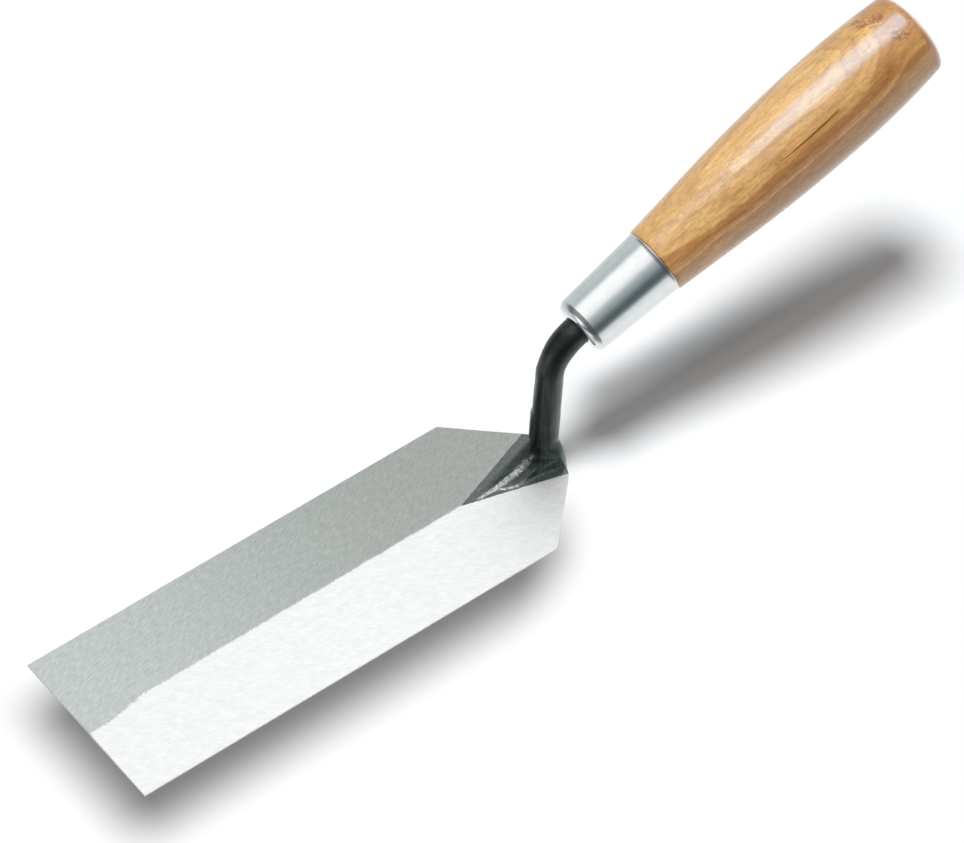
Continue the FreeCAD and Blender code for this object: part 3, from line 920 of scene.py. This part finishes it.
def add_regions(s, colour, along, y, point):
    """Paler by the ferrule, yellower by the butt, darker low on the left, and lighter between the knots as a
    painted highlight.
    """
    colour = s.tint(s.step(along, 35.0, 5.0), colour, (1.10, 1.14, 1.14))
    colour = s.tint(s.step(along, 60.0, 82.0), colour, (1.0, 0.98, 0.82))
    colour = s.tint(s.step(y, 7.0, 12.5), colour, (0.85, 0.81, 0.76))
    painted_highlight = s.step(far_from(s, point, *PAINTED_HIGHLIGHT_CENTRE), 2.0, 9.0, 1.0, 0.0)
    return s.tint(painted_highlight, colour, (1.30, 1.42, 1.35))


def add_knots(s, colour, along, turn, point):
    """Knots of brown and golden curls, a reddish streak in the butt's rounded edge and darker end grain,
    these two partly painted shade on the rounded corner.
    """
    curls = s.ramp(s.noise(point, 0.36, 3.0, 0.6, 1.6),
                   (0.40, (0.24, 0.078, 0.025)), (0.48, (0.38, 0.155, 0.045)),
                   (0.55, (0.54, 0.28, 0.09)), (0.63, (0.72, 0.44, 0.17)))
    ragged_edge = s.times(s.minus(s.noise(point, 0.5, 3.0, 0.6), 0.5), 3.0)
    for distance, degrees, size in KNOTS:
        away = s.maths("ADD", far_from(s, point, distance, degrees), ragged_edge)
        colour = s.mix(s.step(away, size * 0.7, size * 1.4, 0.85, 0.0), colour, curls)

    # a reddish streak in the butt's rounded edge: partly the wood's end grain, partly painted shade on the
    # rounded corner
    from_streak = s.absolute(s.minus(s.linear(ragged_edge, 0.3, along), 88.4))
    from_streak_middle = s.absolute(s.minus(turn, math.radians(60)))
    red_streak_and_shade = s.times(s.step(from_streak, 0.5, 2.0, 0.9, 0.0), s.step(from_streak_middle, 0.15, 0.55, 1.0, 0.0))
    colour = s.mix(red_streak_and_shade, colour, (0.30, 0.09, 0.03))
    # darker end grain at the butt: partly the wood's end grain, partly painted shade on the rounded corner
    return s.tint(s.step(along, 86.0, 89.8), colour, (0.84, 0.75, 0.62))


def add_crack(s, colour, along, turn):
    """Stains the wood along the crack and darkens its inside with painted shade; gives the colour and where
    the inside is.
    """
    share = s.maths("DIVIDE", s.minus(along, CRACK_START), CRACK_END - CRACK_START)
    arch = s.times(share, 4.0, s.minus(1.0, share))
    middle = s.linear(arch, CRACK_BOW, CRACK_TURN - CRACK_BOW / 2)
    off = s.times(s.absolute(s.minus(turn, middle)), CRACK_GRIP_RADIUS)
    skewed = s.maths("POWER", s.maths("MAXIMUM", share, 0.0), CRACK_SKEW)
    gape = s.times(skewed, 4.0, s.minus(1.0, skewed))
    opening = s.maths("POWER", s.maths("MAXIMUM", gape, 0.0), 0.5)
    half_width = s.linear(opening, CRACK_HALF_WIDTH, 0.01)

    near = s.step(arch, 0.0, 0.15)
    colour = s.tint(s.times(s.step(off, 0.2, 2.2, 0.7, 0.0), near), colour, (0.84, 0.72, 0.56))
    inside = s.times(s.step(s.maths("DIVIDE", off, half_width), 0.5, 1.3, 1.0, 0.0), near)
    return s.mix(inside, colour, (0.22, 0.086, 0.020)), inside


def lacquered_wood():
    """Light brown hardwood under gloss lacquer: flat-sawn rings, fibres, pores, knots and one crack."""
    s = Shader("lacquered_hardwood")
    x, y, z = s.place()
    along = s.along(x, y, z, AXIS, on_axis(RIM))
    up = s.along(x, y, z, UPPER, on_axis(RIM))
    turn = s.maths("ARCTAN2", y, up)
    point = s.vector(along, y, up)
    fibre = s.drawn_noise((along, y, up), (0.42, 1.3, 1.3), 5.0, 0.7)
    orange_peel = s.noise(point, 0.45, 5.0, 0.65)

    colour = growth_rings(s, along, y, up, point)
    colour = add_grain(s, colour, along, y, up, fibre)
    colour = add_regions(s, colour, along, y, point)
    colour = add_knots(s, colour, along, turn, point)
    colour, crack = add_crack(s, colour, along, turn)
    bare = s.minus(1.0, crack)
    s.surface(
        Base_Color=colour,
        Roughness=0.45,
        Specular_IOR_Level=s.times(bare, 0.5),
        Coat_Weight=bare,
        Coat_Roughness=0.1,
        Coat_IOR=1.5,
        Normal=s.bump(fibre, 0.08, 0.1),
        Coat_Normal=s.bump(orange_peel, 0.4, 0.25),
    )
    return s.material


def cured_adhesive():
    """Hidden amber filler, slightly cloudy."""
    s = Shader("cured_adhesive")
    cloud = s.noise(s.vector(*s.place()), 0.6, 4.0, 0.6)
    s.surface(
        Base_Color=s.ramp(cloud, (0.3, (0.42, 0.36, 0.24)), (0.7, (0.55, 0.49, 0.36))),
        Roughness=s.linear(cloud, 0.3, 0.3),
        Normal=s.bump(cloud, 0.3, 0.2),
    )
    return s.material


# ---- floor, light and camera

CAMERA_AZIMUTH = math.radians(142.505)
CAMERA_ELEVATION = math.radians(49.64)
CAMERA_DISTANCE = 1.424
CAMERA_LENS = 205.4
CAMERA_AIM = Vector((-0.0745, -0.01966, 0.0005))
TO_CAMERA = Vector((math.sin(CAMERA_AZIMUTH) * math.cos(CAMERA_ELEVATION),
                    -math.cos(CAMERA_AZIMUTH) * math.cos(CAMERA_ELEVATION),
                    math.sin(CAMERA_ELEVATION)))
# square to the handle: its side facing the camera, and its lower side
CAMERA_SIDE = (TO_CAMERA - AXIS * TO_CAMERA.dot(AXIS)).normalized()
LOWER_SIDE = AXIS.cross(CAMERA_SIDE)
# the soft shade beside the blade: how far it slides forward and left from the blade, and how soft it is
SHADE_SLIDE = (8.5, 10.2)
SHADE_SOFTNESS = 10.5
SHADE_DARKNESS = 0.78
# a fainter one beside the handle's shadow: from its darkest place, by the heel, to where it has faded out
HANDLE_SHADE_START = (-104.0, -9.5)
HANDLE_SHADE_END = (-198.0, -3.0)
HANDLE_SHADE_REACH = 11.0
HANDLE_SHADE_DARKNESS = 0.42
# evens out the warm cast of the wood in the middle of its shadow
SHADE_TINT = (0.96, 1.0, 1.03)
# the floor lies this far below the blade, in millimetres, and reaches this far to each side, in metres
FLOOR_DROP = 0.02
FLOOR_REACH = 12.0
FLOOR_WHITE = (0.9, 0.9, 0.9)
# around the handle the floor is cooler, which evens out the warm cast of the wood
FLOOR_COOL_WHITE = (0.883, 0.9, 0.917)


def shade_by_blade(s, x, y):
    """How strongly the floor is shaded: as by the blade's outline, held just clear of the floor."""
    x = s.minus(x, SHADE_SLIDE[0])
    side = s.absolute(s.minus(y, SHADE_SLIDE[1]))
    half = HALF_WIDTH / MM
    past_edges = (
        s.minus(x, WORKING_EDGE / MM),
        s.minus(TAIL_CORNER_X, x),
        s.minus(side, half),
        s.times(s.minus(s.minus(side, x), half - REAR_SHOULDER_X), math.sqrt(0.5)),
    )
    within = (s.step(past, -SHADE_SOFTNESS, SHADE_SOFTNESS, 1.0, 0.0) for past in past_edges)
    return s.times(SHADE_DARKNESS, *within)


def shade_by_handle(s, x, y, z):
    """How strongly the floor is shaded beside the handle's shadow, and where the wood's cast is strongest."""
    start = Vector((*HANDLE_SHADE_START, 0)) * MM
    run = Vector((*HANDLE_SHADE_END, 0)) * MM - start
    away = run.normalized()
    share = s.maths("DIVIDE", s.along(x, y, z, away, start), run.length / MM)
    off = s.absolute(s.along(x, y, z, Vector((-away.y, away.x, 0)), start))
    middle = s.step(off, 0.0, HANDLE_SHADE_REACH, 1.0, 0.0)
    fade = s.times(s.step(share, -0.12, 0.05), s.step(share, 0.0, 1.0, HANDLE_SHADE_DARKNESS, 0.0))
    under_wood = s.times(middle, s.step(share, 0.05, 0.30), s.step(share, 0.6, 1.0, 1.0, 0.5))
    return s.times(fade, middle), under_wood


def pale_floor():
    """Matt white with two soft shades; clear from below and to what rests on it."""
    s = Shader("pale_floor")
    black = (0.0, 0.0, 0.0)
    x, y, z = s.place()
    handle_shade, under_wood = shade_by_handle(s, x, y, z)
    colour = s.mix(s.step(x, -71.5, -101.5), FLOOR_WHITE, FLOOR_COOL_WHITE)
    colour = s.mix(shade_by_blade(s, x, y), colour, black)
    colour = s.tint(under_wood, colour, SHADE_TINT)
    colour = s.mix(handle_shade, colour, black)
    s.surface(Base_Color=colour, Roughness=1.0, Specular_IOR_Level=0.0)

    ray = s.add("ShaderNodeLightPath").outputs["Ray Length"]
    touching = s.maths("LESS_THAN", ray, 10 * FLOOR_DROP * MM)
    clear = s.maths("MAXIMUM", touching, s.add("ShaderNodeNewGeometry").outputs["Backfacing"])
    seen = s.add("ShaderNodeMixShader", {0: clear, 1: s.principled.outputs[0],
                                         2: s.add("ShaderNodeBsdfTransparent").outputs[0]})
    s.put(s.tree.nodes["Material Output"].inputs["Surface"], seen.outputs[0])
    return s.material


def add_floor():
    bm = bmesh.new()
    bm.faces.new([bm.verts.new((x * FLOOR_REACH, y * FLOOR_REACH, -FLOOR_DROP * MM))
                  for x, y in ((-1, -1), (1, -1), (1, 1), (-1, 1))])
    mesh = finish_mesh(bm, "floor")
    mesh.materials.append(pale_floor())
    floor = new_object("floor", mesh)
    floor.visible_glossy = False


# the studio as bright metal sees it, long strips of light and dark hung parallel to the handle:
# degrees about the handle (0 faces the camera, positive is the handle's lower side) and brightness
STRIPS = [(-180, 1.0), (-150, 0.78), (-128, 0.65), (-106, 0.66), (-88, 0.60), (-77, 0.60),
          (-70, 0.80), (-62, 1.12), (-46, 1.22), (-22, 1.12), (-11, 0.98), (0, 0.64),
          (10, 0.46), (22, 0.34), (34, 0.18), (46, 0.115), (58, 0.17), (66, 0.42),
          (73, 0.76), (88, 0.90), (106, 0.95), (128, 0.92), (155, 0.95), (180, 1.0)]
# the softbox seen in the lacquer; its direction is an angle about the handle and one along it
SOFTBOX_TURN = math.radians(-39)
SOFTBOX_ALONG = math.radians(19)
SOFTBOX_DISTANCE = 1.6
SOFTBOX_SIZE = (1.2, 1.0)
SOFTBOX_POWER = 21.5
SOFTBOX_COLOUR = (0.33, 0.66, 1.0)
# a dark gap towards the blade's front, seen in the ferrule's rounded shoulder
GAP_ALONG = (-0.88, -0.70, -0.12, -0.03)
GAP_DARKNESS = 0.8
GAP_COLOUR = (0.08, 0.09, 0.095)
# the studio's end beyond the butt, mirrored in the blade, is brighter
FAR_END_ALONG = (0.30, 0.52)
FAR_END_GAIN = 1.49
# the even light on everything matt, and the sun-like key light
FILL = 0.25
KEY_POWER = 2.8
KEY_ANGLE = math.radians(17)
TOWARDS_KEY = Vector((0.078, -0.013, 1.0))


def strip_colour(level):
    """A strip's colour: dim ones are a little bluer."""
    share = min(1.0, level)
    return level * blend(0.80, 1.0, share), level, level * blend(1.06, 1.0, share)


def studio_reflection(s):
    """What bright metal mirrors: the strips with the gap, and how much brighter the far end is."""
    direction = s.add("ShaderNodeTexCoord").outputs["Generated"]

    def part(of):
        return s.add("ShaderNodeVectorMath", {0: direction, 1: of}, operation="DOT_PRODUCT").outputs["Value"]

    turn = s.maths("DEGREES", s.maths("ARCTAN2", part(LOWER_SIDE), part(CAMERA_SIDE)))
    along = part(AXIS)
    strips = s.ramp(s.linear(turn, 1 / 360, 0.5),
                    *((degrees / 360 + 0.5, strip_colour(level)) for degrees, level in STRIPS))
    gap = s.times(s.step(along, *GAP_ALONG[:2]), s.step(along, *GAP_ALONG[2:], 1.0, 0.0),
                  s.step(s.absolute(turn), 90, 130, GAP_DARKNESS, 0.0))
    return s.mix(gap, strips, GAP_COLOUR), s.step(along, *FAR_END_ALONG, 1.0, FAR_END_GAIN)


def add_world():
    """White to the eye, an even fill on matt surfaces, and the studio's strips in reflections."""
    world = bpy.data.worlds.new("studio")
    bpy.context.scene.world = world
    world.use_nodes = True
    world.node_tree.nodes.clear()
    s = Shader("studio", world.node_tree)

    def light(colour, strength):
        return s.add("ShaderNodeBackground", {"Color": colour, "Strength": strength}).outputs[0]

    white = (1.0, 1.0, 1.0)
    path = s.add("ShaderNodeLightPath").outputs
    lit = s.add("ShaderNodeMixShader", {0: path["Is Glossy Ray"], 1: light(white, FILL),
                                        2: light(*studio_reflection(s))})
    shown = s.add("ShaderNodeMixShader", {0: path["Is Camera Ray"], 1: lit.outputs[0], 2: light(white, 1.0)})
    s.add("ShaderNodeOutputWorld", {"Surface": shown.outputs[0]})


def add_key_light():
    """A broad overhead light; its shadow falls almost straight down."""
    light = bpy.data.lights.new("overhead_key", "SUN")
    light.energy = KEY_POWER
    light.angle = KEY_ANGLE
    lamp = new_object("overhead_key", light)
    lamp.rotation_euler = TOWARDS_KEY.to_track_quat("Z", "Y").to_euler()
    lamp.visible_glossy = False


def add_softbox(handle):
    """A large soft light that only the lacquered handle mirrors."""
    light = bpy.data.lights.new("softbox", "AREA")
    light.shape = "ELLIPSE"
    light.size, light.size_y = SOFTBOX_SIZE
    light.energy = SOFTBOX_POWER
    light.color = SOFTBOX_COLOUR
    lamp = new_object("softbox", light)
    across = CAMERA_SIDE * math.cos(SOFTBOX_TURN) + LOWER_SIDE * math.sin(SOFTBOX_TURN)
    towards_lamp = across * math.cos(SOFTBOX_ALONG) + AXIS * math.sin(SOFTBOX_ALONG)
    side = AXIS.cross(towards_lamp).normalized()
    turned = Matrix((side, towards_lamp.cross(side), towards_lamp)).transposed()
    lamp.location = on_axis(BUTT / 2) + towards_lamp * SOFTBOX_DISTANCE
    lamp.rotation_euler = turned.to_euler()
    lamp.visible_diffuse = False
    lit = bpy.data.collections.new("lit_by_softbox")
    lit.objects.link(handle)
    lamp.light_linking.receiver_collection = lit


def add_camera():
    """A long lens, level with the horizon, above the tool's front left."""
    camera = bpy.data.cameras.new("camera")
    camera.lens = CAMERA_LENS
    camera.sensor_width = 36.0
    camera.clip_end = 100
    eye = new_object("camera", camera)
    eye.location = CAMERA_AIM + TO_CAMERA * CAMERA_DISTANCE
    eye.rotation_euler = TO_CAMERA.to_track_quat("Z", "Y").to_euler()
    bpy.context.scene.camera = eye


# ---- build

forging = unite(make_blade_mesh(), make_shank_mesh(), "blade_and_shank")
shade(forging, 35)
new_piece("blade_and_shank", forging, "forged_blade", forged_steel())

ferrule_mesh = lathe("ferrule_cup", ferrule_outline(), 160)
shade(ferrule_mesh, 50)
new_piece("ferrule_cup", ferrule_mesh, "ferrule", plated_steel())

handle_mesh = make_handle_mesh()
shade(handle_mesh, 40)
handle = new_piece("turned_handle", handle_mesh, "handle", lacquered_wood())

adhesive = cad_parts["tang_adhesive"]
adhesive.data.materials.clear()
adhesive.data.materials.append(cured_adhesive())

add_floor()
add_world()
add_key_light()
add_softbox(handle)
add_camera()
bpy.context.scene.view_settings.view_transform = "Standard"
